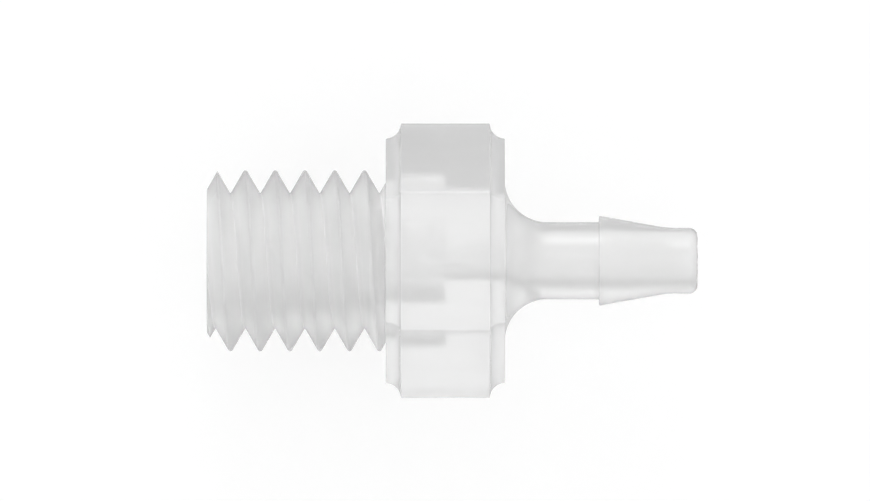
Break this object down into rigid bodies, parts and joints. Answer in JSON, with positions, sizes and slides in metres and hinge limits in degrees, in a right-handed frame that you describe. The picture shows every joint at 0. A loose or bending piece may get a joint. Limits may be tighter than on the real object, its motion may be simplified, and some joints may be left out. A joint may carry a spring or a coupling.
{
  "type": "threaded hose barb fitting",
  "caption": "Small moulded plastic fitting with a fine male thread, a spanner hexagon and a hose barb, for joining soft tubing to a threaded port.",
  "frame": {"origin": "on the axis, in the plane of the hexagon face that seats on the port", "axes": "+X along the axis from the thread to the barb, +Z out of the hexagon flat that faces up, +Y through a corner of the hexagon"},
  "size_m": [0.0131, 0.0074, 0.0064],
  "materials": {
    "natural_plastic": "satin"
  },
  "bodies": {
    "root": {"barb_fitting": "natural_plastic"}
  },
  "joints": []
}
